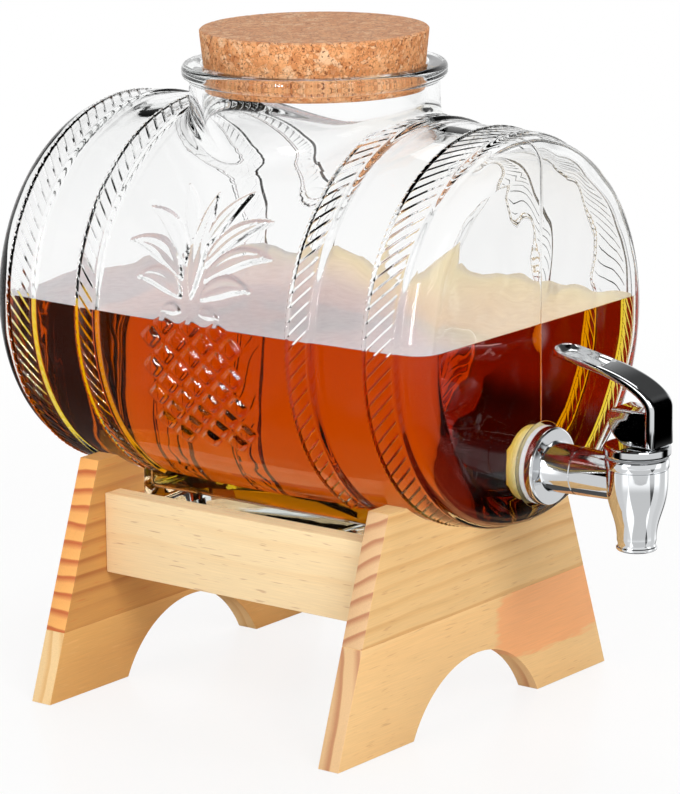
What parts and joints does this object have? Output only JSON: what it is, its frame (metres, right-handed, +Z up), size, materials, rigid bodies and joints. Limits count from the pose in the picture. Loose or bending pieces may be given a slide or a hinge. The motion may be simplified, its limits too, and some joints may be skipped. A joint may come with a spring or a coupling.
{
  "type": "glass beverage dispenser",
  "caption": "Glass barrel drink dispenser lying on a wooden cradle stand, with a cork stopper in its neck and a chrome lever tap on one end.",
  "frame": {"origin": "on the table, below the middle of the whole object's box", "axes": "+X along the barrel towards the tap, +Y to the plain side of the barrel, +Z up"},
  "size_m": [0.2822, 0.185, 0.2756],
  "materials": {
    "moulded_glass": "clear, fire polished, faint green at thick edges",
    "agglomerated_cork": "sanded pressed cork granules",
    "pine_upper": "planed and sanded, clear coat",
    "pine_lower": "planed and sanded, clear coat",
    "pine_rail": "planed and sanded, clear coat",
    "beech_dowel": "turned",
    "chrome_plate": "bright plated",
    "silicone": "moulded, translucent cream",
    "white_plastic": "moulded",
    "seal_rubber": "moulded",
    "spring_steel": "drawn wire"
  },
  "bodies": {
    "stand": {"front_board_upper": "pine_upper", "front_board_lower": "pine_lower", "back_board_upper": "pine_upper", "back_board_lower": "pine_lower", "near_rail": "pine_rail", "far_rail": "pine_rail", "rail_dowels": "beech_dowel"},
    "vessel": {"glass_barrel": "moulded_glass", "tap_body": "chrome_plate", "tap_bonnet": "chrome_plate", "bonnet_gasket": "silicone", "outer_washer": "silicone", "inner_washer": "silicone", "lock_nut": "white_plastic", "stem_seal": "seal_rubber"},
    "cork": {"cork_stopper": "agglomerated_cork"},
    "valve": {"valve_stem": "white_plastic", "valve_plug": "silicone", "valve_spring": "spring_steel"},
    "lever": {"tap_lever": "chrome_plate", "lever_pin": "spring_steel"}
  },
  "joints": [
    {"name": "barrel_lift", "type": "slide", "parent": "stand", "child": "vessel", "axis": [0, 0, 1], "range_m": [0, 0.12]},
    {"name": "cork_lift", "type": "slide", "parent": "vessel", "child": "cork", "axis": [0, 0, 1], "range_m": [0, 0.04]},
    {"name": "valve_lift", "type": "slide", "parent": "vessel", "child": "valve", "axis": [0, 0, 1], "range_m": [0, 0.0019], "deforming": ["valve_spring"]},
    {"name": "lever_press", "type": "hinge", "parent": "valve", "child": "lever", "pos_m": [0.1302, 0, 0.13117], "axis": [0, -1, 0], "range_deg": [0, 18], "stiffness_Nm_per_rad": 0.0054, "springref_deg": -38.22}
  ],
  "couplings": [
    {"joint": "valve_lift", "follows": "lever_press", "m_per_rad": 0.006}
  ]
}
